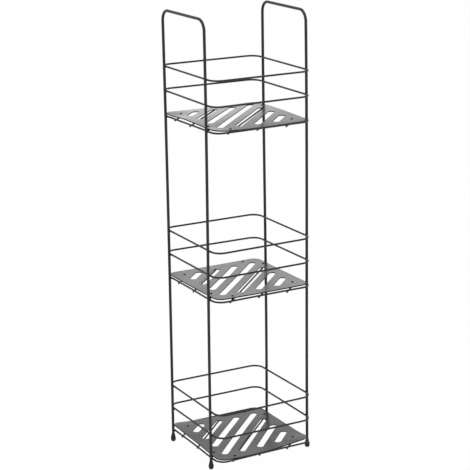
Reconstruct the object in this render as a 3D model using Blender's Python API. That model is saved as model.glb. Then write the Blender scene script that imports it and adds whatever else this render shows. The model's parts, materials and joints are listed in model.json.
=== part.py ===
# Three-tier bathroom etagere: bent side frames, welded wire rails and slotted sheet trays.
# Metres, +Z up. The origin is on the floor under the middle of the stand, and the front faces -Y.

import math

import bmesh
import bpy
from mathutils import Matrix, Vector

# Side frames: one rod each, bent to an upside-down U whose ends are the legs
STAND_HEIGHT = 0.7992  # floor to the top of the rod
POST_DIAMETER = 0.0050
POST_BEND_RADIUS = 0.0190  # on the rod's centre line
POST_INSET = 0.0055  # from the end of a rail's round corner to the leg's centre

# Rails: three closed loops of wire on each tier, measured on the wire's centre line
RAIL_DIAMETER = 0.0033
RAIL_WIDTH = 0.1897
RAIL_DEPTH = 0.1953
RAIL_CORNER_RADIUS = 0.0180
RAIL_SPACING = 0.0435

# Tiers: the lowest loop of each is the base ring that carries its tray
FLOOR_TO_BOTTOM_RING = 0.0197
BOTTOM_TO_MIDDLE_RING = 0.2944
ARCH_HEIGHT = 0.1021  # from the top tier's upper rail to the top of the side frames

# Support wires: straight diagonal wires across the underside of each base ring
WIRE_DIAMETER = 0.0030
WIRE_PAIRS = 3
CORNER_WIRE_INSET = 0.0259  # from a tray's round corner to the outermost wire, on the diagonal

# Trays: flat sheet with slanted round-ended slots
TRAY_THICKNESS = 0.0016
TRAY_CLEARANCE = 0.0010  # from the inside of the base ring to the tray's edge
BOTTOM_TRAY_LIFT = 0.00085  # from the base ring's centre line up to the tray's underside
MIDDLE_TRAY_LIFT = 0.00190
TOP_TRAY_LIFT = 0.00145
SLOT_WIDTH = 0.0120
SLOT_PITCH = 0.0260
SLOT_BORDER = 0.0187  # plain sheet between the tray's edge and the slots' ends
LEFT_SLOT_BACK_BORDER = 0.0224  # the same behind the slots to the left of the middle one

# Tray clips: a round head on the tray, a neck through it and a foot with a groove over a support wire
CLIP_NECK_DIAMETER = 0.0024
CLIP_HEAD_LAP = 0.0013  # how far the head reaches past the neck
CLIP_HEAD_HEIGHT = 0.0010
CLIP_JAW = 0.0007  # the foot's wall on each side of its groove
CLIP_INSET = 0.0085  # from the tray's edge to a clip's centre

# Foot caps: pear-shaped rubber caps with a blind bore for the leg
CAP_FLOOR = 0.0025
CAP_LIP = 0.0004  # wall at the mouth
CAP_SWELL = 0.0019  # wall at the widest place
CAP_WIDEST_HEIGHT = 0.0055
CAP_BASE_INSET = 0.0029  # how much smaller the flat base is than the widest place
CAP_FULLNESS = 2.5  # power of the rounded edge's ellipse: 2 is a plain one, more is squarer
CAP_CLEARANCE = 0.0004  # from the cap's mouth up to the lowest support wire

# Pieces that touch on the real stand keep this gap
FIT_GAP = 0.0003

# Facets of the round shapes
POST_BEVEL_RESOLUTION = 4
WIRE_BEVEL_RESOLUTION = 2
BEND_STEPS = 6
CORNER_STEPS = 5
SLOT_END_STEPS = 6
CLIP_SIDES = 10
DOME_STEPS = 3
CAP_SIDES = 12
CAP_STEPS = 4
SHARP_ANGLE = math.radians(40)
MERGE_DISTANCE = 1e-6

# Places that follow from the sizes above
POST_X = RAIL_WIDTH / 2 + RAIL_DIAMETER / 2 + FIT_GAP + POST_DIAMETER / 2
POST_Y = RAIL_DEPTH / 2 - RAIL_CORNER_RADIUS - POST_INSET
LEG_END = CAP_FLOOR + FIT_GAP
TIERS = {
    "bottom": (FLOOR_TO_BOTTOM_RING, BOTTOM_TRAY_LIFT),
    "middle": (FLOOR_TO_BOTTOM_RING + BOTTOM_TO_MIDDLE_RING, MIDDLE_TRAY_LIFT),
    "top": (STAND_HEIGHT - ARCH_HEIGHT - 2 * RAIL_SPACING, TOP_TRAY_LIFT),
}

# Heights within a tier are measured from the base ring's centre line
WIRE_LEVEL = -(RAIL_DIAMETER / 2 + FIT_GAP + WIRE_DIAMETER / 2)
CAP_TOP = FLOOR_TO_BOTTOM_RING + WIRE_LEVEL - WIRE_DIAMETER / 2 - CAP_CLEARANCE

TRAY_INSET = RAIL_DIAMETER / 2 + TRAY_CLEARANCE
TRAY_WIDTH = RAIL_WIDTH - 2 * TRAY_INSET
TRAY_DEPTH = RAIL_DEPTH - 2 * TRAY_INSET
TRAY_CORNER_RADIUS = RAIL_CORNER_RADIUS - TRAY_INSET
CLIP_HOLE_RADIUS = CLIP_NECK_DIAMETER / 2 + FIT_GAP

# Slots and support wires run along one diagonal and are spaced out across it
ALONG = Vector((1, 1)).normalized()
ACROSS = Vector((-1, 1)).normalized()


def clear_scene():
    for piece in list(bpy.data.objects):
        bpy.data.objects.remove(piece, do_unlink=True)


def paint(name, colour, roughness):
    material = bpy.data.materials.new(name)
    material.use_nodes = True
    shader = material.node_tree.nodes["Principled BSDF"]
    shader.inputs["Base Color"].default_value = (*colour, 1)
    shader.inputs["Roughness"].default_value = roughness
    shader.inputs["Metallic"].default_value = 0
    return material


def place(name, data, parent=None, location=(0, 0, 0), turn=0.0):
    piece = bpy.data.objects.new(name, data)
    piece.parent = parent
    piece.location = location
    piece.rotation_euler.z = turn
    bpy.context.collection.objects.link(piece)
    return piece


def arc(centre, radius, start, end, steps):
    # Points on an arc, with its angles in degrees
    angles = [math.radians(start + (end - start) * step / steps) for step in range(steps + 1)]
    return [centre + radius * Vector((math.cos(angle), math.sin(angle))) for angle in angles]


def rounded_rectangle(width, depth, radius):
    points = []
    for corner, (x_side, y_side) in enumerate(((1, 1), (-1, 1), (-1, -1), (1, -1))):
        centre = Vector((x_side * (width / 2 - radius), y_side * (depth / 2 - radius)))
        points += arc(centre, radius, 90 * corner, 90 * corner + 90, CORNER_STEPS)
    return points


def add_spline(curve, points, closed):
    spline = curve.splines.new("POLY")
    spline.points.add(len(points) - 1)
    for knot, point in zip(spline.points, points):
        knot.co = (*point.to_3d(), 1)
    spline.use_cyclic_u = closed


def rod(name, points, diameter, bevel_resolution, material, closed=False):
    curve = bpy.data.curves.new(name, "CURVE")
    curve.dimensions = "3D"
    curve.bevel_depth = diameter / 2
    curve.bevel_resolution = bevel_resolution
    curve.use_fill_caps = not closed
    add_spline(curve, points, closed)
    curve.materials.append(material)
    return curve


def turned(name, profile, sides, material):
    # A profile of radius and height pairs, swept once round the Z axis
    shape = bmesh.new()
    corners = [shape.verts.new((radius, 0, height)) for radius, height in profile]
    lines = [shape.edges.new(pair) for pair in zip(corners, corners[1:])]
    axis = Vector((0, 0, 1))
    bmesh.ops.spin(shape, geom=corners + lines, axis=axis, angle=math.tau, steps=sides)
    bmesh.ops.remove_doubles(shape, verts=shape.verts, dist=MERGE_DISTANCE)
    bmesh.ops.recalc_face_normals(shape, faces=shape.faces)
    mesh = bpy.data.meshes.new(name)
    shape.to_mesh(mesh)
    shape.free()
    mesh.shade_smooth()
    mesh.set_sharp_from_angle(angle=SHARP_ANGLE)
    mesh.materials.append(material)
    return mesh


def arch_path():
    # Up the front leg, over the top bar and down the back leg, in the plane x = 0
    bend = POST_BEND_RADIUS
    top = STAND_HEIGHT - POST_DIAMETER / 2
    outline = [Vector((-POST_Y, LEG_END))]
    outline += arc(Vector((bend - POST_Y, top - bend)), bend, 180, 90, BEND_STEPS)
    outline += arc(Vector((POST_Y - bend, top - bend)), bend, 90, 0, BEND_STEPS)
    outline.append(Vector((POST_Y, LEG_END)))
    return [Vector((0, point.x, point.y)) for point in outline]


def build_side_frames(material):
    frame = rod("side_frame", arch_path(), POST_DIAMETER, POST_BEVEL_RESOLUTION, material)
    place("left_side_frame", frame, location=(-POST_X, 0, 0))
    place("right_side_frame", frame, location=(POST_X, 0, 0))


def cap_profile():
    bore = POST_DIAMETER / 2 + FIT_GAP
    widest = bore + CAP_SWELL
    mouth = bore + CAP_LIP
    base = widest - CAP_BASE_INSET
    profile = [(0, 0)]
    # Rounded edge: a quarter of a full ellipse from the flat base out to the widest place
    power = 2 / CAP_FULLNESS
    for step in range(CAP_STEPS + 1):
        turn = math.pi / 2 * step / CAP_STEPS
        height = CAP_WIDEST_HEIGHT * (1 - math.cos(turn) ** power)
        profile.append((base + CAP_BASE_INSET * math.sin(turn) ** power, height))
    # Neck: a cosine ease from the widest place in to the mouth
    for step in range(1, CAP_STEPS + 1):
        share = step / CAP_STEPS
        radius = mouth + (widest - mouth) * (1 + math.cos(math.pi * share)) / 2
        profile.append((radius, CAP_WIDEST_HEIGHT + (CAP_TOP - CAP_WIDEST_HEIGHT) * share))
    profile += [(bore, CAP_TOP), (bore, CAP_FLOOR), (0, CAP_FLOOR)]
    return profile


def build_foot_caps(material):
    cap = turned("foot_cap", cap_profile(), CAP_SIDES, material)
    for side, x in (("left", -POST_X), ("right", POST_X)):
        for end, y in (("front", -POST_Y), ("back", POST_Y)):
            place(f"{end}_{side}_foot_cap", cap, location=(x, y, 0))


def wire_offsets():
    # Distances of the support wires from the tray's middle, from the back left corner to the front right
    corner = Vector((-TRAY_WIDTH / 2 + TRAY_CORNER_RADIUS, TRAY_DEPTH / 2 - TRAY_CORNER_RADIUS))
    outermost = corner.dot(ACROSS) + TRAY_CORNER_RADIUS - CORNER_WIRE_INSET
    last = 2 * WIRE_PAIRS - 1
    return [outermost * (1 - 2 * number / last) for number in range(last + 1)]


def wire_ends(offset, outline):
    # The wire crosses the base ring's centre line twice, and its ends are flush with the ring's outside
    crossings = []
    for first, second in zip(outline, outline[1:] + outline[:1]):
        before = first.dot(ACROSS) - offset
        after = second.dot(ACROSS) - offset
        if before * after < 0:
            crossings.append(first.lerp(second, before / (before - after)))
    start, end = sorted(crossings, key=ALONG.dot)
    past = RAIL_DIAMETER / 2 * math.sqrt(2) - WIRE_DIAMETER / 2
    return [start - ALONG * past, end + ALONG * past]


def diagonal_span(offset, half_width, half_depth):
    # The stretch of a diagonal line, this far from the middle, that lies inside a rectangle
    rise = offset * math.sqrt(2)
    left = max(-half_width, -half_depth - rise)
    right = min(half_width, half_depth - rise)
    return Vector((left, left + rise)), Vector((right, right + rise))


def slot_outline(start, end):
    radius = SLOT_WIDTH / 2
    return arc(end, radius, -45, 135, SLOT_END_STEPS) + arc(start, radius, 135, 315, SLOT_END_STEPS)


def slot_outlines():
    # Slots are added in pairs out from the middle for as long as they are longer than wide. A right-hand slot
    # ends at the tray's front and right, a left-hand one at its left and, a little shorter, at its back.
    side = TRAY_WIDTH / 2 - SLOT_BORDER - SLOT_WIDTH / 2
    back = TRAY_DEPTH / 2 - SLOT_BORDER - SLOT_WIDTH / 2
    left_back = TRAY_DEPTH / 2 - LEFT_SLOT_BACK_BORDER - SLOT_WIDTH / 2
    outlines = [slot_outline(*diagonal_span(0, side, back))]
    offset = SLOT_PITCH
    start, end = diagonal_span(offset, side, left_back)
    while (end - start).dot(ALONG) > SLOT_WIDTH:
        outlines.append(slot_outline(start, end))
        outlines.append(slot_outline(*diagonal_span(-offset, side, back)))
        offset += SLOT_PITCH
        start, end = diagonal_span(offset, side, left_back)
    return outlines


def clip_spots(offsets):
    # One clip in the middle of each outermost wire, and one near each end of the two middle wires
    spots = [ACROSS * offsets[0], ACROSS * offsets[-1]]
    for offset in offsets[WIRE_PAIRS - 1:WIRE_PAIRS + 1]:
        spots += diagonal_span(offset, TRAY_WIDTH / 2 - CLIP_INSET, TRAY_DEPTH / 2 - CLIP_INSET)
    return spots


def tray_sheet(spots, material):
    curve = bpy.data.curves.new("tray", "CURVE")
    curve.dimensions = "2D"
    curve.fill_mode = "BOTH"
    curve.extrude = TRAY_THICKNESS / 2
    add_spline(curve, rounded_rectangle(TRAY_WIDTH, TRAY_DEPTH, TRAY_CORNER_RADIUS), True)
    for outline in slot_outlines():
        add_spline(curve, outline, True)
    for spot in spots:
        add_spline(curve, arc(spot, CLIP_HOLE_RADIUS, 0, 360, CLIP_SIDES)[:-1], True)
    curve.materials.append(material)
    return curve


def clip_profile(tray_lift):
    foot = WIRE_DIAMETER / 2 + FIT_GAP + CLIP_JAW
    neck = CLIP_NECK_DIAMETER / 2
    head = neck + CLIP_HEAD_LAP
    shoulder = tray_lift - FIT_GAP
    seat = tray_lift + TRAY_THICKNESS + FIT_GAP
    profile = [(0, WIRE_LEVEL), (foot, WIRE_LEVEL), (foot, shoulder), (neck, shoulder), (neck, seat)]
    for step in range(DOME_STEPS):
        turn = math.pi / 2 * step / DOME_STEPS
        profile.append((head * math.cos(turn), seat + CLIP_HEAD_HEIGHT * math.sin(turn)))
    profile.append((0, seat + CLIP_HEAD_HEIGHT))
    return profile


def groove_block():
    # The space that the support wire takes up under a clip, open at the bottom
    wide = WIRE_DIAMETER + 2 * FIT_GAP
    long = 2 * (wide + 2 * CLIP_JAW)
    roof = WIRE_LEVEL + WIRE_DIAMETER / 2 + FIT_GAP
    tall = 2 * (roof - WIRE_LEVEL)
    shape = bmesh.new()
    size = Matrix.Diagonal((long, wide, tall, 1))
    bmesh.ops.create_cube(shape, size=1, matrix=Matrix.Translation((0, 0, roof - tall / 2)) @ size)
    mesh = bpy.data.meshes.new("clip_groove")
    shape.to_mesh(mesh)
    shape.free()
    return mesh


def grooved_clip(tray_lift, material):
    blank = place("clip_blank", turned("clip", clip_profile(tray_lift), CLIP_SIDES, material))
    cutter = place("clip_groove", groove_block())
    groove = blank.modifiers.new("groove", "BOOLEAN")
    groove.object = cutter
    depsgraph = bpy.context.evaluated_depsgraph_get()
    mesh = bpy.data.meshes.new_from_object(blank.evaluated_get(depsgraph))
    mesh.name = "tray_clip"
    for helper in (blank, cutter):
        bpy.data.objects.remove(helper, do_unlink=True)
    return mesh


def build_tiers(frame_paint, tray_paint, clip_plastic):
    outline = rounded_rectangle(RAIL_WIDTH, RAIL_DEPTH, RAIL_CORNER_RADIUS)
    rail = rod("rail", outline, RAIL_DIAMETER, WIRE_BEVEL_RESOLUTION, frame_paint, closed=True)
    offsets = wire_offsets()
    wires = [
        rod("support_wire", wire_ends(offset, outline), WIRE_DIAMETER, WIRE_BEVEL_RESOLUTION, frame_paint)
        for offset in offsets
    ]
    spots = clip_spots(offsets)
    sheet = tray_sheet(spots, tray_paint)
    for name, (level, tray_lift) in TIERS.items():
        tier = place(f"{name}_tier", None, location=(0, 0, level))
        for number, kind in enumerate(("base_ring", "middle_rail", "upper_rail")):
            place(f"{name}_tier_{kind}", rail, tier, (0, 0, number * RAIL_SPACING))
        for number, wire in enumerate(wires, start=1):
            place(f"{name}_tier_support_wire_{number}", wire, tier, (0, 0, WIRE_LEVEL))
        place(f"{name}_tray", sheet, tier, (0, 0, tray_lift + TRAY_THICKNESS / 2))
        clip = grooved_clip(tray_lift, clip_plastic)
        for number, spot in enumerate(spots, start=1):
            place(f"{name}_tray_clip_{number}", clip, tier, spot.to_3d(), ALONG.angle(Vector((1, 0))))


def main():
    clear_scene()
    frame_paint = paint("frame_paint", (0.016, 0.0163, 0.017), 0.42)
    tray_paint = paint("tray_paint", (0.020, 0.0203, 0.021), 0.25)
    clip_plastic = paint("clip_plastic", (0.012, 0.012, 0.0122), 0.55)
    cap_rubber = paint("cap_rubber", (0.012, 0.012, 0.0122), 0.75)
    build_side_frames(frame_paint)
    build_foot_caps(cap_rubber)
    build_tiers(frame_paint, tray_paint, clip_plastic)
    bpy.context.view_layer.update()


main()
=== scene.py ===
# Looks of a slim three-tier wire stand: painted rods and rails, slotted trays, nylon clips, rubber feet
import json
import math

import bpy
import numpy as np
from mathutils import Matrix, Vector
from mathutils.geometry import delaunay_2d_cdt

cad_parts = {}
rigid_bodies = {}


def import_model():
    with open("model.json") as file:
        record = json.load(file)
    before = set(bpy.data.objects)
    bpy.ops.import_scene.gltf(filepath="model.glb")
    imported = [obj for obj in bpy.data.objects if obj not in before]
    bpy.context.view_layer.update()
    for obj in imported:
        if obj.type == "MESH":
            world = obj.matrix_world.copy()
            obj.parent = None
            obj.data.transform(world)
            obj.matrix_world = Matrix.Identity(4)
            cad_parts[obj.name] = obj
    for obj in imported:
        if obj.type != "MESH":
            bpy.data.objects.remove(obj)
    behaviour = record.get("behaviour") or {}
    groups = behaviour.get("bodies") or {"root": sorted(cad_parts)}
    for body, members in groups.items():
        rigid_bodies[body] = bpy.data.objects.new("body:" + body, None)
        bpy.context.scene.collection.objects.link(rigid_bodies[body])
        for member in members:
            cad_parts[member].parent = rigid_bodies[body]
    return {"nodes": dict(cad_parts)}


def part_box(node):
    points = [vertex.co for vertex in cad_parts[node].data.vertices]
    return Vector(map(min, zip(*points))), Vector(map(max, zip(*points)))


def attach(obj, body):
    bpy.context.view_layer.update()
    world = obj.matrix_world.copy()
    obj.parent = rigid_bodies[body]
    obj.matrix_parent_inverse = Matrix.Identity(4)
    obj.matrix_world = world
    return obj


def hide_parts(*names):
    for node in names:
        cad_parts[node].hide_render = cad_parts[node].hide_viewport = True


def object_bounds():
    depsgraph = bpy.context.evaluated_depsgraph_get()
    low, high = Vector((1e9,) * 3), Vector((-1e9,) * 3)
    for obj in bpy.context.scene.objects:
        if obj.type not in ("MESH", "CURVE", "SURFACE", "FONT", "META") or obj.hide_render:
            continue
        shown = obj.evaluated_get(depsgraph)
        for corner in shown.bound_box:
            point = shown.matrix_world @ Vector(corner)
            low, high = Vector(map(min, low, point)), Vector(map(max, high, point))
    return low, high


for leftOver in list(bpy.data.objects):  # start-up cube, lamp and camera
    bpy.data.objects.remove(leftOver, do_unlink=True)
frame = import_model()
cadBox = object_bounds()
tierNames = ("bottom", "middle", "top")
railKinds = ("base_ring", "middle_rail", "upper_rail")
fullTurn = 2 * math.pi
quarterTurn = math.pi / 2
print("frame loaded,", len(frame["nodes"]), "nodes")


# Node tree helpers

def addNode(tree, kind, **values):
    node = tree.nodes.new(kind)
    for name, value in values.items():
        setattr(node, name, value)
    return node


def setInputs(node, **values):  # an underscore in a name stands for a space
    for name, value in values.items():
        node.inputs[name.replace("_", " ")].default_value = value
    return node


def noiseNode(tree, coordinates, scale, detail=2.0, roughness=0.5):
    noise = setInputs(addNode(tree, "ShaderNodeTexNoise"), Detail=detail, Roughness=roughness)
    tree.links.new(coordinates, noise.inputs["Vector"])
    tree.links.new(scale, noise.inputs["Scale"])
    return noise.outputs["Fac"]


def mathNode(tree, operation, first, second):
    node = addNode(tree, "ShaderNodeMath", operation=operation)
    for socket, value in zip(node.inputs, (first, second)):
        if isinstance(value, (int, float)):
            socket.default_value = value
        else:
            tree.links.new(value, socket)
    return node.outputs[0]


def spreadNode(tree, value, fromEnds, toEnds=(0, 1)):
    spread = addNode(tree, "ShaderNodeMapRange", interpolation_type="SMOOTHSTEP")
    tree.links.new(value, spread.inputs["Value"])
    for name, end in zip(("From Min", "From Max", "To Min", "To Max"), (*fromEnds, *toEnds)):
        spread.inputs[name].default_value = end
    return spread.outputs["Result"]


def mixColours(tree, share, first, second):  # a mix node's colours are inputs 6 and 7 and output 2
    mix = addNode(tree, "ShaderNodeMix", data_type="RGBA")
    tree.links.new(share, mix.inputs["Factor"])
    for socket, colour in ((mix.inputs[6], first), (mix.inputs[7], second)):
        if isinstance(colour, tuple):
            socket.default_value = (*colour, 1)
        else:
            tree.links.new(colour, socket)
    return mix.outputs[2]


def newGroup(name, inputs, outputs):
    tree = bpy.data.node_groups.new(name, "ShaderNodeTree")
    for label, value in inputs.items():
        socket = tree.interface.new_socket(label, in_out="INPUT", socket_type="NodeSocketFloat")
        socket.default_value = value
    for label in outputs:
        tree.interface.new_socket(label, in_out="OUTPUT", socket_type="NodeSocketFloat")
    return tree, addNode(tree, "NodeGroupInput"), addNode(tree, "NodeGroupOutput")


# Shared effects

sprayGrain = {
    "inputs": {"Wave Scale": 900.0, "Speck Scale": 3500.0, "Drift Scale": 18.0},
    "speckDetail": 3.0,
    "speckRoughness": 0.6,
    "waveShare": 0.7,
    "speckShare": 0.3,
    "speckSpread": (0.35, 0.65),
    "driftSpread": (0.3, 0.7),
}


# Sprayed surface: long soft waves of the skin, fine specks in it, and slow drifts of tone
def makeSprayGrain():
    tree, given, result = newGroup("sprayGrain", sprayGrain["inputs"], ("Height", "Specks", "Drift"))
    place = addNode(tree, "ShaderNodeTexCoord").outputs["Object"]
    waves = noiseNode(tree, place, given.outputs["Wave Scale"])
    specks = noiseNode(
        tree, place, given.outputs["Speck Scale"], sprayGrain["speckDetail"], sprayGrain["speckRoughness"]
    )
    drift = noiseNode(tree, place, given.outputs["Drift Scale"])
    swell = mathNode(tree, "MULTIPLY", waves, sprayGrain["waveShare"])
    height = mathNode(tree, "ADD", swell, mathNode(tree, "MULTIPLY", specks, sprayGrain["speckShare"]))
    tree.links.new(height, result.inputs["Height"])
    tree.links.new(spreadNode(tree, specks, sprayGrain["speckSpread"]), result.inputs["Specks"])
    tree.links.new(spreadNode(tree, drift, sprayGrain["driftSpread"]), result.inputs["Drift"])
    return tree


rubbedSpots = {
    "inputs": {"Amount": 0.5, "Patch Scale": 60.0, "Break Scale": 700.0},
    "patchSpread": (0.50, 0.66),
    "breakSpread": (0.45, 0.62),
}


# Rubbed spots: where a coarse and a fine noise are both high the paint is worn thin
def makeRubbedSpots():
    tree, given, result = newGroup("rubbedSpots", rubbedSpots["inputs"], ("Rub",))
    place = addNode(tree, "ShaderNodeTexCoord").outputs["Object"]
    patches = noiseNode(tree, place, given.outputs["Patch Scale"])
    breaks = noiseNode(tree, place, given.outputs["Break Scale"])
    worn = mathNode(
        tree,
        "MULTIPLY",
        spreadNode(tree, patches, rubbedSpots["patchSpread"]),
        spreadNode(tree, breaks, rubbedSpots["breakSpread"]),
    )
    tree.links.new(mathNode(tree, "MULTIPLY", worn, given.outputs["Amount"]), result.inputs["Rub"])
    return tree


settledDust = {
    "inputs": {"Amount": 0.1, "Patch Scale": 40.0},
    "patchDetail": 4.0,
    "patchSpread": (0.35, 0.7),
    "patchEnds": (0.2, 1),
    "upwardSpread": (0.3, 0.95),
}


# Settled dust: a thin veil on what faces up, thicker in soft patches
def makeSettledDust():
    tree, given, result = newGroup("settledDust", settledDust["inputs"], ("Veil",))
    facing = addNode(tree, "ShaderNodeSeparateXYZ")
    tree.links.new(addNode(tree, "ShaderNodeNewGeometry").outputs["Normal"], facing.inputs[0])
    place = addNode(tree, "ShaderNodeTexCoord").outputs["Object"]
    patches = noiseNode(tree, place, given.outputs["Patch Scale"], settledDust["patchDetail"])
    patches = spreadNode(tree, patches, settledDust["patchSpread"], settledDust["patchEnds"])
    upward = spreadNode(tree, facing.outputs["Z"], settledDust["upwardSpread"])
    veil = mathNode(tree, "MULTIPLY", mathNode(tree, "MULTIPLY", upward, patches), given.outputs["Amount"])
    tree.links.new(veil, result.inputs["Veil"])
    return tree


effects = {"grain": makeSprayGrain(), "rub": makeRubbedSpots(), "dust": makeSettledDust()}


# Finishes

def placeEffect(tree, effect, **values):
    return setInputs(addNode(tree, "ShaderNodeGroup", node_tree=effects[effect]), **values)


# One finish: two close tones by drift, specks, rubbed spots and dust, with a bump from the grain
def makeFinish(name, look):
    material = bpy.data.materials.new(name)
    material.use_nodes = True
    tree = material.node_tree
    shader = tree.nodes["Principled BSDF"]
    setInputs(shader, **look["shader"])
    grain = placeEffect(tree, "grain", **look["grain"])
    rub = placeEffect(tree, "rub", **look["rub"])
    dust = placeEffect(tree, "dust", **look["dust"])
    body = mixColours(tree, grain.outputs["Drift"], look["deep"], look["pale"])
    specked = mathNode(tree, "MULTIPLY", grain.outputs["Specks"], look["speckShare"])
    body = mixColours(tree, specked, body, look["speck"])
    body = mixColours(tree, rub.outputs["Rub"], body, look["rubbed"])
    body = mixColours(tree, dust.outputs["Veil"], body, look["dusty"])
    tree.links.new(body, shader.inputs["Base Color"])
    sheen = spreadNode(tree, grain.outputs["Specks"], (0, 1), look["roughness"])
    dulled = mathNode(tree, "MULTIPLY", dust.outputs["Veil"], look["dustRough"])
    tree.links.new(mathNode(tree, "ADD", sheen, dulled), shader.inputs["Roughness"])
    bump = setInputs(addNode(tree, "ShaderNodeBump"), Strength=look["bump"], Distance=look["bumpDepth"])
    tree.links.new(grain.outputs["Height"], bump.inputs["Height"])
    tree.links.new(bump.outputs["Normal"], shader.inputs["Normal"])
    return material


framePaintLook = {
    "deep": (0.0150, 0.0152, 0.0156),
    "pale": (0.0200, 0.0202, 0.0207),
    "speck": (0.0280, 0.0283, 0.0290),
    "speckShare": 0.15,
    "rubbed": (0.040, 0.040, 0.041),
    "dusty": (0.10, 0.10, 0.098),
    "roughness": (0.34, 0.46),
    "dustRough": 1.5,
    "bump": 0.20,
    "bumpDepth": 0.00004,
    "grain": {"Wave_Scale": 1100.0, "Speck_Scale": 4200.0, "Drift_Scale": 14.0},
    "rub": {"Amount": 0.15},
    "dust": {"Amount": 0.04},
    "shader": {"Metallic": 0.0, "Specular_IOR_Level": 0.30},
}

trayPaintLook = {
    "deep": (0.0175, 0.0177, 0.0182),
    "pale": (0.0225, 0.0228, 0.0233),
    "speck": (0.0420, 0.0424, 0.0432),
    "speckShare": 0.20,
    "rubbed": (0.055, 0.055, 0.055),
    "dusty": (0.12, 0.12, 0.118),
    "roughness": (0.18, 0.25),
    "dustRough": 0.6,
    "bump": 0.18,
    "bumpDepth": 0.00004,
    "grain": {"Wave_Scale": 520.0, "Speck_Scale": 2600.0, "Drift_Scale": 20.0},
    "rub": {"Amount": 0.15},
    "dust": {"Amount": 0.04},
    "shader": {"Metallic": 0.0, "IOR": 1.5},
}

# Painted shade: the tray's cut edges get a darker, less glossy paint than the flats, standing in for the
# shade on their walls
trayEdgeShadeLook = {
    "deep": (0.0040, 0.0040, 0.0042),
    "pale": (0.0065, 0.0065, 0.0067),
    "speck": (0.0120, 0.0120, 0.0124),
    "speckShare": 0.20,
    "rubbed": (0.035, 0.035, 0.035),
    "dusty": (0.08, 0.08, 0.079),
    "roughness": (0.50, 0.62),
    "dustRough": 0.5,
    "bump": 0.30,
    "bumpDepth": 0.00006,
    "grain": {"Wave_Scale": 900.0, "Speck_Scale": 3200.0, "Drift_Scale": 30.0},
    "rub": {"Amount": 0.25},
    "dust": {"Amount": 0.03},
    "shader": {"Metallic": 0.0, "Specular_IOR_Level": 0.12},
}

clipNylonLook = {
    "deep": (0.0060, 0.0060, 0.0062),
    "pale": (0.0085, 0.0085, 0.0087),
    "speck": (0.0140, 0.0140, 0.0142),
    "speckShare": 0.2,
    "rubbed": (0.03, 0.03, 0.03),
    "dusty": (0.10, 0.10, 0.098),
    "roughness": (0.55, 0.65),
    "dustRough": 0.8,
    "bump": 0.2,
    "bumpDepth": 0.00004,
    "grain": {"Wave_Scale": 1600.0, "Speck_Scale": 6000.0, "Drift_Scale": 120.0},
    "rub": {"Amount": 0.1},
    "dust": {"Amount": 0.02},
    "shader": {"Metallic": 0.0, "Specular_IOR_Level": 0.15},
}

capRubberLook = {
    "deep": (0.0090, 0.0090, 0.0092),
    "pale": (0.0130, 0.0130, 0.0132),
    "speck": (0.0200, 0.0200, 0.0202),
    "speckShare": 0.3,
    "rubbed": (0.05, 0.05, 0.049),
    "dusty": (0.12, 0.12, 0.116),
    "roughness": (0.50, 0.62),
    "dustRough": 0.5,
    "bump": 0.35,
    "bumpDepth": 0.00008,
    "grain": {"Wave_Scale": 800.0, "Speck_Scale": 3000.0, "Drift_Scale": 90.0},
    "rub": {"Amount": 0.3},
    "dust": {"Amount": 0.06},
    "shader": {"Metallic": 0.0, "Specular_IOR_Level": 0.28},
}

framePaint = makeFinish("framePaint", framePaintLook)
trayPaint = makeFinish("trayPaint", trayPaintLook)
# painted shade for the tray's cut edges
trayEdgeShade = makeFinish("trayEdgeShade", trayEdgeShadeLook)
clipNylon = makeFinish("clipNylon", clipNylonLook)
capRubber = makeFinish("capRubber", capRubberLook)
print("finishes made,", len(bpy.data.materials), "materials")


# Mesh helpers: a shell is an array of corners, one of four-sided faces and one of triangles

def nodeBox(node):
    low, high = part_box(node)
    return np.array(low), np.array(high)


def middleOf(node):
    low, high = nodeBox(node)
    return (low + high) / 2


# Faces face out when the signed volume, a sum over triangles from the origin, is positive
def faceOut(corners, quads, triangles):
    fans = np.vstack([quads[:, [0, 1, 2]], quads[:, [0, 2, 3]], triangles])
    first, second, third = corners[fans].transpose(1, 0, 2)
    if np.einsum("ij,ij->", first, np.cross(second, third)) < 0:
        quads, triangles = quads[:, ::-1], triangles[:, ::-1]
    return corners, quads, triangles


# Faces between rows of corner numbers that close round: two neighbours and the two beside them in the next
def rowFaces(index):
    beside = np.roll(index, -1, axis=1)
    return np.stack([index[:-1], beside[:-1], beside[1:], index[1:]], axis=-1).reshape(-1, 4)


# A grid whose columns close round; its rows close into a loop, or each end is filled with a fan
def gridShell(points, loop=False):
    corners = points.reshape(-1, 3)
    index = np.arange(len(corners)).reshape(points.shape[:2])
    if loop:
        return faceOut(corners, rowFaces(np.vstack([index, index[:1]])), np.empty((0, 3), int))
    beside = np.roll(index, -1, axis=1)
    middle = np.full(index.shape[1], len(corners))
    corners = np.vstack([corners, points[0].mean(axis=0), points[-1].mean(axis=0)])
    startFan = np.column_stack([middle, beside[0], index[0]])
    endFan = np.column_stack([middle + 1, index[-1], beside[-1]])
    return faceOut(corners, rowFaces(index), np.vstack([startFan, endFan]))


def joinShells(shells):
    corners, quads, triangles = zip(*shells)
    starts = np.cumsum([0] + [len(part) for part in corners])
    quads = [part + start for part, start in zip(quads, starts)]
    triangles = [part + start for part, start in zip(triangles, starts)]
    return np.vstack(corners), np.vstack(quads), np.vstack(triangles)


def makePiece(name, shell, material, nodes=()):
    corners, quads, triangles = shell
    mesh = bpy.data.meshes.new(name)
    mesh.from_pydata(corners.tolist(), [], triangles.tolist() + quads.tolist())
    mesh.shade_smooth()
    mesh.materials.append(material)
    piece = bpy.data.objects.new(name, mesh)
    bpy.context.scene.collection.objects.link(piece)
    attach(piece, "root")
    if nodes:
        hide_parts(*nodes)
    return piece


def turnSteps(sides):
    return np.linspace(0, fullTurn, sides, endpoint=False)


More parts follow.
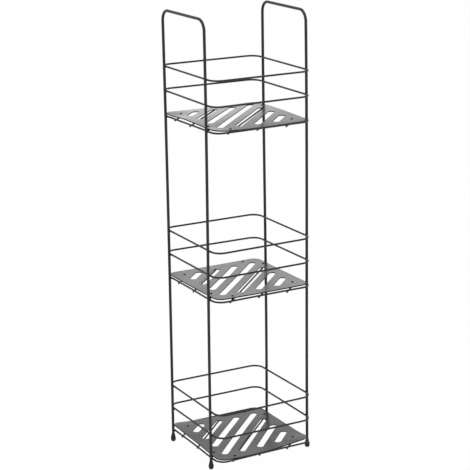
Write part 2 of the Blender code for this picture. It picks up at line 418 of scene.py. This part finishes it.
# Loop of arcs joined by straight runs: point = centre + (radius + offset) * (cos angle, sin angle) on an
# arc, and an even share of the way to the next arc on a run. One row of points for each offset.
def arcLoop(centres, startAngles, sweep, radius, offsets, arcSteps, runSteps):
    angles = np.asarray(startAngles)[:, None] + sweep * np.linspace(0, 1, arcSteps + 1)
    spokes = np.stack([np.cos(angles), np.sin(angles)], axis=-1)
    reach = radius + np.asarray(offsets)[:, None, None, None]
    arcs = np.asarray(centres)[:, None] + reach * spokes
    share = np.linspace(0, 1, runSteps + 1)[1:-1, None]
    leave = arcs[:, :, -1:]
    arrive = np.roll(arcs[:, :, :1], -1, axis=1)
    runs = leave + (arrive - leave) * share
    return np.concatenate([arcs, runs], axis=2).reshape(len(offsets), -1, 2)


# Rectangle with round corners: a quarter arc about a centre that lies one radius in from each corner
def roundedLoop(half, radius, offsets, arcSteps, runSteps):
    signs = np.array([(1, 1), (-1, 1), (-1, -1), (1, -1)])
    startAngles = np.arange(4) * quarterTurn
    return arcLoop(signs * (half - radius), startAngles, quarterTurn, radius, offsets, arcSteps, runSteps)


# Circle: centre + (radius + offset) * (cos turn, sin turn), one row of points for each offset
def circleLoop(centre, radius, offsets, sides):
    turn = turnSteps(sides)
    spokes = np.stack([np.cos(turn), np.sin(turn)], axis=-1)
    return np.asarray(centre) + (radius + np.asarray(offsets)[:, None, None]) * spokes


# Turned shape: (radius * cos turn, radius * sin turn, height) for each step of the profile and of the turn
def turnedGrid(profile, sides):
    turn = turnSteps(sides)
    radius, height = np.asarray(profile)[:, :1], np.asarray(profile)[:, 1:]
    return np.stack([radius * np.cos(turn), radius * np.sin(turn), height + 0 * turn], axis=-1)


# A soft hump at a place: rise * exp(-(x / reachX)^2 - (y / reachY)^2), with x and y counted from that place
def hump(x, y, given):
    placeX, placeY, rise, reachX, reachY = given
    return rise * np.exp(-((x - placeX) / reachX) ** 2 - ((y - placeY) / reachY) ** 2)


# Cubic through four offsets that lie evenly between two ends, read at a share between those ends
def cubicThrough(offsets, ends, share):
    places = np.linspace(*ends, len(offsets))
    return np.polyval(np.polyfit(places, offsets, len(offsets) - 1), share)


# Side frames

sideFrame = {
    "bendRadius": 0.019,
    "sides": 32,
    "bendSteps": 24,
    "legSteps": 40,
    "bow": {  # to the back, at one third, two thirds and the whole of the height
        ("left", "front"): (-0.0004, -0.0029, -0.0017),
        ("left", "back"): (-0.0012, -0.0007, 0.0026),
        ("right", "front"): (0.0011, 0.0008, 0.0038),
        ("right", "back"): (-0.0010, 0.0018, 0.0039),
    },
}
legRadius = np.ptp(nodeBox("left_side_frame"), axis=0)[0] / 2


# Long rods are never quite straight: a leg is off to the front or back by a cubic of the height, which is
# nothing at the foot
def legBow(side, end, height):
    return cubicThrough((0, *sideFrame["bow"][side, end]), (0, 1), height / cadBox[1][2])


# Rod along an upside-down U: the U is drawn once for each offset from the rod's centre line, offset =
# thickness * cos turn in the U's own plane, and x = thickness * sin turn out of it. Each leg's bow fades out
# along the top bar into that of the other leg.
def sideFrameShell(side):
    low, high = nodeBox(f"{side}_side_frame")
    thickness = (high[0] - low[0]) / 2
    bend = sideFrame["bendRadius"]
    legY = high[1] - thickness
    topZ = high[2] - thickness
    turn = turnSteps(sideFrame["sides"])[:, None]
    spread = thickness * np.cos(turn)
    rise = np.linspace(low[2], topZ - bend, sideFrame["legSteps"], endpoint=False)
    angles = np.linspace(math.pi, quarterTurn, sideFrame["bendSteps"] + 1)
    arcY = bend - legY + (bend + spread) * np.cos(angles)
    arcZ = topZ - bend + (bend + spread) * np.sin(angles)
    y = np.hstack([-legY - spread + 0 * rise, arcY])  # front half, from the leg's end up and over
    z = np.hstack([rise + 0 * spread, arcZ])
    y = np.hstack([y, -y[:, ::-1]])
    z = np.hstack([z, z[:, ::-1]])
    x = (low[0] + high[0]) / 2 + thickness * np.sin(turn) + 0 * y
    share = np.clip((y + legY) / (2 * legY), 0, 1)
    y = y + (1 - share) * legBow(side, "front", z) + share * legBow(side, "back", z)
    return gridShell(np.stack([x, y, z], axis=-1).transpose(1, 0, 2))


for side in ("left", "right"):
    frameNode = f"{side}_side_frame"
    makePiece(f"{frameNode}_rod", sideFrameShell(side), framePaint, [frameNode])
print("side frames made")


# Rails

rail = {
    "cornerRadius": 0.018,
    "sides": 20,
    "cornerSteps": 14,
    "runSteps": 16,
    "cornerRise": {  # front left, front right, back left, back right
        ("bottom", "middle_rail"): (-0.0006, -0.0004, -0.0004, -0.0001),
        ("bottom", "upper_rail"): (-0.0015, 0.0009, -0.0004, -0.0007),
        ("middle", "middle_rail"): (-0.0005, 0.0009, 0.0003, -0.0002),
        ("middle", "upper_rail"): (-0.0007, 0.0011, 0.0003, 0.0004),
        ("top", "base_ring"): (0.0000, 0.0000, -0.0011, 0.0000),
        ("top", "middle_rail"): (-0.0004, 0.0002, 0.0006, -0.0003),
        ("top", "upper_rail"): (0.0001, 0.0001, 0.0001, -0.0002),
    },
    "dips": {  # place x, place y, drop, reach x and reach y of each hump
        "bottom": [(-0.0965, -0.0993, 0.0017, 0.085, 0.070), (-0.0965, -0.055, 0.0008, 0.030, 0.035)],
        "middle": [(-0.0965, -0.0993, 0.0012, 0.085, 0.065), (-0.0965, -0.045, 0.0005, 0.030, 0.025)],
        "top": [(-0.0965, -0.0993, 0.0016, 0.125, 0.018)],
    },
}


# How far a rail is off its level place, as welded by hand: the rise of its four corners shared out by
# nearness, and for a base ring, which is sprung down at the front left, less the humps of its dips
def railSag(tier, kind, points):
    low, high = nodeBox(f"{tier}_tier_{kind}")
    toRight, toBack = np.moveaxis((points - low) / (high - low), -1, 0)[:2]
    frontLeft, frontRight, backLeft, backRight = rail["cornerRise"].get((tier, kind), (0, 0, 0, 0))
    front = frontLeft + (frontRight - frontLeft) * toRight
    back = backLeft + (backRight - backLeft) * toRight
    sag = front + (back - front) * toBack
    if kind == "base_ring":
        sag = sag - sum(hump(points[..., 0], points[..., 1], dip) for dip in rail["dips"][tier])
    return sag


# Round wire on a closed loop: the loop is offset by thickness * cos turn and lifted by thickness * sin turn
# and by its sag
def railShell(tier, kind):
    low, high = nodeBox(f"{tier}_tier_{kind}")
    thickness = (high[2] - low[2]) / 2
    half = high[:2] - thickness
    turn = turnSteps(rail["sides"])
    offsets = thickness * np.cos(turn)
    loops = roundedLoop(half, rail["cornerRadius"], offsets, rail["cornerSteps"], rail["runSteps"])
    height = (low[2] + high[2]) / 2 + thickness * np.sin(turn)
    points = np.dstack([loops, np.broadcast_to(height[:, None], loops.shape[:2])])
    points[..., 2] += railSag(tier, kind, points)
    return gridShell(points, loop=True)


for tier in tierNames:
    for kind in railKinds:
        railNode = f"{tier}_tier_{kind}"
        makePiece(f"{railNode}_wire", railShell(tier, kind), framePaint, [railNode])
print("rails made")


# Support wires

supportWire = {
    "count": 6,
    "sides": 18,
    "endDome": 0.0009,
    "domeSteps": 5,
    "steps": 12,
    "askew": {  # to the back left, at the front end, at one third, at two thirds and at the back end
        ("bottom", 2): (-0.0022, -0.0022, -0.0022, -0.0022),
        ("bottom", 4): (-0.0012, 0.0018, 0.0004, 0.0001),
        ("bottom", 5): (0.0010, 0.0007, 0.0003, 0.0),
        ("bottom", 6): (0.0010, 0.0003, 0.0, 0.0),
    },
}
along = np.array([1.0, 1.0, 0.0]) / math.sqrt(2)
across = np.array([-1.0, 1.0, 0.0]) / math.sqrt(2)
upright = np.array([0.0, 0.0, 1.0])


# Half of a wire's length: its box is as wide as the slanted length, plus what the round wire adds to it
def wireReach(low, high):
    return (high[0] - low[0] - (high[2] - low[2]) * abs(across[0])) / 2 * math.sqrt(2)


# How far a wire that is welded askew lies from its place: slid across by a cubic from its front end (-1) to
# its back end (1), and drawn out along by as much as it nears the middle of the tray, so that its ends stay
# on the ring
def wireShift(tier, number, share):
    offsets = supportWire["askew"].get((tier, number), (0, 0, 0, 0))
    slide = cubicThrough(offsets, (-1, 1), share)[..., None]
    nearer = slide if 2 * number > supportWire["count"] else -slide
    return slide * across + np.sign(share)[..., None] * nearer * along


# Round wire: line + thickness * (cos turn * across + sin turn * up), with each cut end rounded off by the
# paint as a quarter ellipse, thickness * cos rise at a distance of dome * sin rise
def wireShell(tier, number):
    low, high = nodeBox(f"{tier}_tier_support_wire_{number}")
    thickness = (high[2] - low[2]) / 2
    reach = wireReach(low, high)
    dome = supportWire["endDome"]
    rise = np.linspace(0, quarterTurn, supportWire["domeSteps"] + 2)[1:-1]
    run = np.linspace(dome - reach, reach - dome, supportWire["steps"])
    end = reach - dome + dome * np.sin(rise)
    distance = np.concatenate([-end[::-1], run, end])
    radius = thickness * np.concatenate([np.cos(rise)[::-1], np.ones(len(run)), np.cos(rise)])
    turn = turnSteps(supportWire["sides"])[:, None]
    spokes = np.cos(turn) * across + np.sin(turn) * upright
    line = (low + high) / 2 + distance[:, None] * along + wireShift(tier, number, distance / reach)
    return gridShell(line[:, None] + radius[:, None, None] * spokes)


for tier in tierNames:
    for number in range(1, supportWire["count"] + 1):
        wireNode = f"{tier}_tier_support_wire_{number}"
        makePiece(f"{wireNode}_rod", wireShell(tier, number), framePaint, [wireNode])
print("support wires made")


# Trays

tray = {
    "cornerRadius": 0.01535,
    "edgeRound": 0.0002,
    "slotWidth": 0.012,
    "slotPitch": 0.026,
    "slotPairs": 3,
    "slotBorder": 0.0187,
    "leftBackBorder": 0.0224,
    "slotStarts": (135, 315),  # where the round ends of a slot at 45 degrees start
    "holeRadius": 0.0015,
    "holeSides": 20,
    "clips": 6,
    "fillStep": 0.0040,
    "fillGap": 0.45,  # share of a step between the edges and the points that fill the flat
    "fillReach": 1.5,  # of half the sheet, so that the turned lattice covers its corners
    "keepDepth": 0.5,  # share of the edge's round that tells metal from slots
    "mergeGap": 1e-9,
    "cornerSteps": 12,
    "slotEndSteps": 14,
    "edgeSteps": 4,
    "lift": {"bottom": 0.0003, "middle": -0.0004, "top": 0.0002},
    "lean": {"bottom": (-0.0050, 0.0042), "middle": (0.0036, -0.0040), "top": (-0.0033, 0.0080)},
    "bow": {"bottom": (0.22, -0.23, -0.20), "middle": (0.08, 0.05, 0.01), "top": (0.17, -0.25, 0.02)},
    "bends": {  # place x, place y, rise, reach x and reach y of each hump
        "bottom": [
            (0.0922, -0.095, 0.0044, 0.056, 0.025),
            (-0.0922, -0.095, 0.0015, 0.032, 0.020),
            (-0.0922, -0.068, -0.0012, 0.022, 0.030),
            (-0.0922, 0.080, 0.0016, 0.028, 0.032),
        ],
        "middle": [],
        "top": [
            (0.0922, -0.095, 0.0007, 0.090, 0.030),
            (-0.0922, -0.095, 0.0014, 0.021, 0.021),
            (-0.0922, 0.060, -0.0018, 0.028, 0.022),
        ],
    },
    "rimDrop": 0.0004,
}


# How far a tray's sheet is off its level place, as thin sheet is never flat: lift + lean . (x, y) +
# bow . (xx, yy, xy) + the humps of its bent corners
def trayWarp(tier, points):
    x, y = points[..., 0], points[..., 1]
    leanX, leanY = tray["lean"][tier]
    bowX, bowY, twist = tray["bow"][tier]
    warp = tray["lift"][tier] + leanX * x + leanY * y + bowX * x * x + bowY * y * y + twist * x * y
    return warp + sum(hump(x, y, bend) for bend in tray["bends"][tier])


# Ends of a slot's centre line: the stretch of y = x + rise inside the bordered rectangle. Slots to the left
# of the middle one stop shorter of the back.
def slotLine(step, half):
    rise = step * tray["slotPitch"] * math.sqrt(2)
    back = tray["leftBackBorder"] if step > 0 else tray["slotBorder"]
    room = half - (tray["slotBorder"], back) - tray["slotWidth"] / 2
    left = max(-room[0], -room[1] - rise)
    right = min(room[0], room[1] - rise)
    return np.array([(left, left + rise), (right, right + rise)])


# Distance from points to a straight line between two ends
def lineDistance(points, ends):
    run = ends[1] - ends[0]
    share = np.clip((points - ends[0]) @ run / (run @ run), 0, 1)
    return np.linalg.norm(points - ends[0] - share[:, None] * run, axis=1)


# Distance inside the sheet's edges: positive on the metal, negative in a slot, a hole or outside
def sheetDepth(points, half, slots, spots):
    corner = np.abs(points) - (half - tray["cornerRadius"])
    outside = np.linalg.norm(np.maximum(corner, 0), axis=1) + np.minimum(corner.max(axis=1), 0)
    depths = [tray["cornerRadius"] - outside]
    depths += [lineDistance(points, ends) - tray["slotWidth"] / 2 for ends in slots]
    depths += [np.linalg.norm(points - spot, axis=1) - tray["holeRadius"] for spot in spots]
    return np.min(depths, axis=0)


# Section of a sheet's edge: a quarter round at the top, a straight wall and a quarter round at the bottom,
# as distance out from the flat's edge line and height
def edgeSection(bottomZ, topZ):
    edge = tray["edgeRound"]
    turn = np.linspace(0, quarterTurn, tray["edgeSteps"] + 1)
    out = edge * (np.sin(turn) - 1)
    drop = edge * (1 - np.cos(turn))
    return np.concatenate([out, out[::-1]]), np.concatenate([topZ - drop, bottomZ + drop[::-1]])


# Outlines of the rim, the slots and the clip holes, each drawn once for every distance out of the section
def sheetLoops(half, slots, spots, out):
    step = tray["fillStep"]
    starts = np.radians(tray["slotStarts"])
    width = tray["slotWidth"] / 2
    loops = [roundedLoop(half, tray["cornerRadius"], out, tray["cornerSteps"], int(2 * half[0] / step))]
    for ends in slots:
        runSteps = int(np.linalg.norm(ends[1] - ends[0]) / step) + 1
        loops.append(arcLoop(ends, starts, math.pi, width, -out, tray["slotEndSteps"], runSteps))
    return loops + [circleLoop(spot, tray["holeRadius"], -out, tray["holeSides"]) for spot in spots]


# Flat of the sheet: triangles between the outlines and an even lattice of points that lies along the slots
def fillFlat(loops, rings, outline):
    step = tray["fillStep"]
    farthest = outline[0].max() * tray["fillReach"]
    steps = np.arange(-farthest, farthest, step)
    square = np.stack(np.meshgrid(steps, steps), axis=-1).reshape(-1, 2)
    lattice = square @ np.array([along[:2], across[:2]])
    inner = lattice[sheetDepth(lattice, *outline) > tray["edgeRound"] + tray["fillGap"] * step]
    flat = np.concatenate([loop[0] for loop in loops] + [inner])
    edges = np.concatenate([np.column_stack([ring, np.roll(ring, -1)]) for ring in rings])
    filled = delaunay_2d_cdt(flat.tolist(), edges.tolist(), [], 0, tray["mergeGap"])
    triangles = np.array(filled[2])
    depth = sheetDepth(flat[triangles].mean(axis=1), *outline)
    return flat, triangles[depth > tray["edgeRound"] * tray["keepDepth"]]


# Slotted sheet: every edge is the section carried round its loop, both flats are filled between the loops,
# and the rim is turned down a little
def trayShell(tier):
    low, high = nodeBox(f"{tier}_tray")
    half = high[:2]
    slots = [slotLine(step, half) for step in range(-tray["slotPairs"], tray["slotPairs"] + 1)]
    spots = [middleOf(f"{tier}_tray_clip_{number}")[:2] for number in range(1, tray["clips"] + 1)]
    out, height = edgeSection(low[2], high[2])
    loops = sheetLoops(half, slots, spots, out)
    sizes = [loop.shape[1] for loop in loops]
    rings = np.split(np.arange(sum(sizes)), np.cumsum(sizes)[:-1])
    flat, triangles = fillFlat(loops, rings, (half, slots, spots))

    count = len(flat)
    drop = tray["rimDrop"] * (np.arange(count) < sizes[0])
    corners = [np.column_stack([flat, np.full(count, high[2])]), np.column_stack([flat, low[2] - drop])]
    quads = []
    total = 2 * count
    for loop, ring in zip(loops, rings):
        level = height - drop[ring[0]] * (height < (low[2] + high[2]) / 2)
        walls = np.dstack([loop, np.broadcast_to(level[:, None], loop.shape[:2])])[1:-1]
        wallIndex = total + np.arange(walls[..., 0].size).reshape(walls.shape[:2])
        quads.append(rowFaces(np.vstack([ring, wallIndex, ring + count]))[:, [0, 3, 2, 1]])
        corners.append(walls.reshape(-1, 3))
        total += wallIndex.size
    corners = np.vstack(corners)
    corners[:, 2] += trayWarp(tier, corners)
    number = np.arange(total)
    onEdge = (number % count < sum(sizes)) & (number < 2 * count)
    return (corners, np.vstack(quads), np.vstack([triangles, triangles[:, ::-1] + count])), onEdge


# The cut edge gets a darker, less glossy paint of its own, which is painted shade for the dim look of its
# walls, and the line between flat and edge stays crisp
def paintEdgeShade(mesh, flatFaces, onEdge):
    mesh.materials.append(trayEdgeShade)
    cut = np.arange(len(mesh.polygons)) >= flatFaces
    mesh.polygons.foreach_set("material_index", cut.astype(np.int32))
    ends = np.empty((len(mesh.edges), 2), np.int32)
    mesh.edges.foreach_get("vertices", ends.ravel())
    mesh.edges.foreach_set("use_edge_sharp", onEdge[ends].all(axis=1))


for tier in tierNames:
    trayNode = f"{tier}_tray"
    sheet, onEdge = trayShell(tier)
    piece = makePiece(f"{trayNode}_sheet", sheet, trayPaint, [trayNode])
    # the cut edges get the painted shade
    paintEdgeShade(piece.data, len(sheet[2]), onEdge)
print("trays made")


# Tray clips

clip = {
    "headRadius": 0.0025,
    "headHeight": 0.0010,
    "neckRadius": 0.0012,
    "dimpleRadius": 0.0008,
    "dimpleDepth": 0.0002,
    "dimpleFlat": 0.7,  # share of the dimple's radius
    "dimplePole": 0.1,  # share of the dimple's radius, closed by a fan
    "footPole": 0.05,  # share of the foot's radius, closed by a fan
    "footRound": 0.0003,
    "grooveHalf": 0.0018,
    "grooveRoof": 0.0018,
    "jawOverlap": 0.0002,
    "jawTaper": 0.85,
    "sides": 28,
    "domeSteps": 8,
}


# Jaw: a D-shaped plug, an arc of the foot closed by the groove's wall, carried down with a drawn-in end
def jawShell(footRadius, bottomZ, roof, side):
    groove = clip["grooveHalf"]
    limit = math.acos(groove / footRadius)
    angles = np.linspace(-limit, limit, clip["sides"] // 2)
    outline = np.column_stack([footRadius * np.cos(angles), footRadius * np.sin(angles)])
    middle = np.array([(groove + footRadius) / 2, 0])
    levels = np.array([roof + clip["jawOverlap"], bottomZ + clip["footRound"], bottomZ])
    shrink = np.array([1, 1, clip["jawTaper"]])
    rows = middle + (outline - middle) * shrink[:, None, None]
    plug = side * rows[..., :1] * across + rows[..., 1:] * along
    plug[..., 2] = levels[:, None]
    return gridShell(plug)


# Clip: a domed head with a shallow moulding dimple, a neck through the tray and a foot, turned as one,
# with two jaws below that straddle the support wire
def clipShell(tier, node):
    low, high = nodeBox(node)
    trayLow, trayHigh = nodeBox(f"{tier}_tray")
    centre = (low + high) / 2
    sink = trayWarp(tier, centre)
    seat = trayHigh[2] + sink
    shoulder = trayLow[2] + sink
    footRadius = (high[0] - low[0]) / 2
    roof = low[2] + clip["grooveRoof"]
    turn = np.linspace(0, quarterTurn, clip["domeSteps"] + 1)
    dome = np.column_stack([clip["headRadius"] * np.cos(turn), seat + clip["headHeight"] * np.sin(turn)])
    dome = dome[dome[:, 0] > clip["dimpleRadius"]]
    crown = dome[-1, 1]
    dimple = crown - clip["dimpleDepth"]
    soft = clip["footRound"]
    profile = [
        (clip["dimpleRadius"] * clip["dimplePole"], dimple),
        (clip["dimpleRadius"] * clip["dimpleFlat"], dimple),
        (clip["dimpleRadius"], crown),
        *dome[::-1],
        (clip["headRadius"] - soft, seat),
        (clip["neckRadius"], seat),
        (clip["neckRadius"], shoulder),
        (footRadius - soft, shoulder),
        (footRadius, shoulder - soft),
        (footRadius, roof),
        (footRadius * clip["footPole"], roof),
    ]
    body = gridShell(turnedGrid(profile, clip["sides"]))
    jaws = [jawShell(footRadius, low[2], roof, side) for side in (1, -1)]
    corners, quads, triangles = joinShells([body, *jaws])
    return corners + (centre[0], centre[1], 0), quads, triangles


for tier in tierNames:
    for number in range(1, tray["clips"] + 1):
        clipNode = f"{tier}_tray_clip_{number}"
        makePiece(f"{clipNode}_nylon", clipShell(tier, clipNode), clipNylon, [clipNode])
print("tray clips made")


# Foot caps

footCap = {
    "boreGap": 0.0003,
    "floor": 0.0025,
    "lip": 0.0004,
    "lipSteps": 8,
    "widestHeight": 0.0055,
    "baseInset": 0.0029,
    "fullness": 2.5,
    "dish": 0.0003,
    "dishFlat": 0.6,  # share of the base's radius
    "dishRim": 0.8,  # share of the base's radius
    "pole": 0.05,  # share of the radius that a fan closes, under the base and in the bore
    "sides": 48,
    "steps": 16,
    "seamRise": 0.00008,
    "seamWidth": 0.05,
    "seamFrom": 0.98,  # share of the mouth's radius, so that the bore has no seam
}


# Pear shape: a quarter of a full ellipse, out^fullness + up^fullness = 1, from the flat base out to the
# widest place, a cosine ease in to the mouth, a rolled lip and a bore for the leg, with two faint moulding
# seams
def capShell(node):
    low, high = nodeBox(node)
    centre = (low + high) / 2
    widest = (high[0] - low[0]) / 2 - footCap["seamRise"]
    bore = legRadius + footCap["boreGap"]
    mouth = bore + footCap["lip"]
    base = widest - footCap["baseInset"]
    share = np.linspace(0, 1, footCap["steps"] + 1)
    power = 2 / footCap["fullness"]
    foot = np.column_stack([
        base + footCap["baseInset"] * np.sin(share * quarterTurn) ** power,
        footCap["widestHeight"] * (1 - np.cos(share * quarterTurn) ** power),
    ])
    lipRound = footCap["lip"] / 2
    neckTop = high[2] - lipRound
    neck = np.column_stack([
        mouth + (widest - mouth) * (1 + np.cos(math.pi * share)) / 2,
        footCap["widestHeight"] + (neckTop - footCap["widestHeight"]) * share,
    ])[1:]
    roll = np.linspace(0, math.pi, footCap["lipSteps"] + 1)[1:]
    lip = np.column_stack([bore + lipRound + lipRound * np.cos(roll), neckTop + lipRound * np.sin(roll)])
    dish = [(base * footCap["pole"], footCap["dish"]), (base * footCap["dishFlat"], footCap["dish"])]
    boreEnd = [(bore, footCap["floor"]), (bore * footCap["pole"], footCap["floor"])]
    profile = np.vstack([dish, (base * footCap["dishRim"], 0), foot, neck, lip, boreEnd])
    grid = turnedGrid(profile, footCap["sides"])
    seam = np.exp(-(np.sin(turnSteps(footCap["sides"])) / footCap["seamWidth"]) ** 2)
    outer = (profile[:, 0] > mouth * footCap["seamFrom"]) & (profile[:, 1] > 0)
    grid[..., :2] *= (1 + footCap["seamRise"] * seam / profile[:, :1] * outer[:, None])[..., None]
    return gridShell(grid + (centre[0], centre[1], 0))


for end in ("front", "back"):
    for side in ("left", "right"):
        capNode = f"{end}_{side}_foot_cap"
        makePiece(f"{capNode}_rubber", capShell(capNode), capRubber, [capNode])
print("foot caps made")


# Weld beads

weld = {
    "legBead": (0.0010, 0.0022, 0.0019),  # half sizes
    "wireBead": (0.00145, 0.00145, 0.0009),
    "lump": 0.06,
    "lobes": 3,
    "rows": 10,
    "sides": 16,
}


# Bead: an ellipsoid, radius lumped by (1 + lump * sin(lobes * turn + number) * sin height)
def beadShell(centre, halfSizes, number):
    polar = np.linspace(0, math.pi, weld["rows"] + 2)[1:-1]
    ball = turnedGrid(np.column_stack([np.sin(polar), np.cos(polar)]), weld["sides"])
    lumps = np.sin(weld["lobes"] * turnSteps(weld["sides"]) + number)
    swell = 1 + weld["lump"] * lumps * np.sin(polar)[:, None]
    return gridShell(ball * swell[..., None] * halfSizes + centre)


# Rails are welded to the legs, and support wires under the base ring where they cross it
def tierBeads(tier):
    legLow, legHigh = nodeBox("right_side_frame")
    legY = legHigh[1] - legRadius
    beads = []
    for kind in railKinds:
        low, high = nodeBox(f"{tier}_tier_{kind}")
        for side, sideX in (("left", -1), ("right", 1)):
            for end, sideY in (("front", -1), ("back", 1)):
                place = np.array([sideX * (high[0] + legLow[0]) / 2, sideY * legY, (low[2] + high[2]) / 2])
                place += (0, legBow(side, end, place[2]), railSag(tier, kind, place))
                beads.append(beadShell(place, weld["legBead"], len(beads)))
    ringLow, ringHigh = nodeBox(f"{tier}_tier_base_ring")
    for number in range(1, supportWire["count"] + 1):
        low, high = nodeBox(f"{tier}_tier_support_wire_{number}")
        inward = (ringHigh[2] - ringLow[2]) / 2 * math.sqrt(2) - (high[2] - low[2]) / 2
        reach = wireReach(low, high) - inward
        centre = np.array([(low[0] + high[0]) / 2, (low[1] + high[1]) / 2, (high[2] + ringLow[2]) / 2])
        for end in (-1, 1):
            place = centre + end * reach * along + wireShift(tier, number, np.float64(end))
            beads.append(beadShell(place, weld["wireBead"], len(beads)))
    return joinShells(beads)


for tier in tierNames:
    makePiece(f"{tier}_tier_weld_beads", tierBeads(tier), framePaint)
print("weld beads made")


# Floor, light and camera

stage = {
    "floorHalf": 20.0,
    "floorGlow": 0.985,  # share of plain white in what the camera sees, and the rest takes the shadow
    "floorPaint": (0.9, 0.9, 0.9),
    "skyLevel": 0.75,
    "lamps": {
        "softbox": {
            "place": (-0.6, -0.9, 2.6),
            "aim": (0.0, 0.0, 0.4),
            "size": (1.6, 1.6),
            "power": 12.0,
        },
        "paleCard": {
            "place": (0.84, 0.57, 0.672),
            "aim": (0.40, -0.22, 0.672),
            "size": (1.2, 0.385),
            "power": 0.84,
        },
    },
}


# White for what the camera and the gloss see, plain light for the rest
def seenWhite(tree):
    path = addNode(tree, "ShaderNodeLightPath")
    seen = mathNode(tree, "MAXIMUM", path.outputs["Is Camera Ray"], path.outputs["Is Glossy Ray"])
    return mathNode(tree, "MAXIMUM", seen, path.outputs["Is Transmission Ray"])


# Plain shader and glowing one, mixed by a share, into the tree's output
def mixInto(tree, share, plain, glowing, outputKind):
    mix = addNode(tree, "ShaderNodeMixShader")
    tree.links.new(share, mix.inputs[0])
    tree.links.new(plain.outputs[0], mix.inputs[1])
    tree.links.new(glowing.outputs[0], mix.inputs[2])
    tree.links.new(mix.outputs[0], addNode(tree, outputKind).inputs["Surface"])


def makeFloor():
    half = stage["floorHalf"]
    corners = [(-half, -half, 0), (half, -half, 0), (half, half, 0), (-half, half, 0)]
    mesh = bpy.data.meshes.new("floor")
    mesh.from_pydata(corners, [], [(0, 1, 2, 3)])
    floor = bpy.data.objects.new("floor", mesh)
    bpy.context.scene.collection.objects.link(floor)
    material = bpy.data.materials.new("floorWhite")
    material.use_nodes = True
    tree = material.node_tree
    tree.nodes.clear()
    matt = setInputs(addNode(tree, "ShaderNodeBsdfDiffuse"), Color=(*stage["floorPaint"], 1))
    glow = setInputs(addNode(tree, "ShaderNodeEmission"), Strength=1.0)
    share = mathNode(tree, "MULTIPLY", seenWhite(tree), stage["floorGlow"])
    mixInto(tree, share, matt, glow, "ShaderNodeOutputMaterial")
    mesh.materials.append(material)


def makeSky():
    world = bpy.data.worlds.new("studio")
    world.use_nodes = True
    tree = world.node_tree
    tree.nodes.clear()
    soft = setInputs(addNode(tree, "ShaderNodeBackground"), Color=(1, 1, 1, 1), Strength=stage["skyLevel"])
    white = setInputs(addNode(tree, "ShaderNodeBackground"), Color=(1, 1, 1, 1), Strength=1.0)
    mixInto(tree, seenWhite(tree), soft, white, "ShaderNodeOutputWorld")
    bpy.context.scene.world = world


def makeLamp(name, given):
    light = bpy.data.lights.new(name, "AREA")
    light.shape = "RECTANGLE"
    light.size, light.size_y = given["size"]
    light.energy = given["power"]
    lamp = bpy.data.objects.new(name, light)
    lamp.location = given["place"]
    lamp.rotation_mode = "QUATERNION"
    lamp.rotation_quaternion = (Vector(given["aim"]) - lamp.location).to_track_quat("-Z", "Y")
    bpy.context.scene.collection.objects.link(lamp)


photoCamera = {
    "place": (-1.36736, -2.49318, 1.19496),
    "azimuth": -28.65949,
    "elevation": 15.65756,
    "roll": -0.73984,
    "lens": 127.647,
    "sensor": 36.0,
    "farthest": 100.0,
}


def makeCamera():
    camera = bpy.data.cameras.new("photoCamera")
    camera.lens = photoCamera["lens"]
    camera.sensor_width = photoCamera["sensor"]
    camera.clip_end = photoCamera["farthest"]
    holder = bpy.data.objects.new("photoCamera", camera)
    azimuth, tilt, roll = (math.radians(photoCamera[name]) for name in ("azimuth", "elevation", "roll"))
    turn = Matrix.Rotation(azimuth, 4, "Z") @ Matrix.Rotation(quarterTurn - tilt, 4, "X")
    holder.matrix_world = Matrix.Translation(photoCamera["place"]) @ turn @ Matrix.Rotation(roll, 4, "Z")
    bpy.context.scene.collection.objects.link(holder)
    bpy.context.scene.camera = holder


makeFloor()
makeSky()
for name, given in stage["lamps"].items():
    makeLamp(name, given)
makeCamera()
bpy.context.scene.view_settings.view_transform = "Standard"
print("stage made")

bpy.context.view_layer.update()
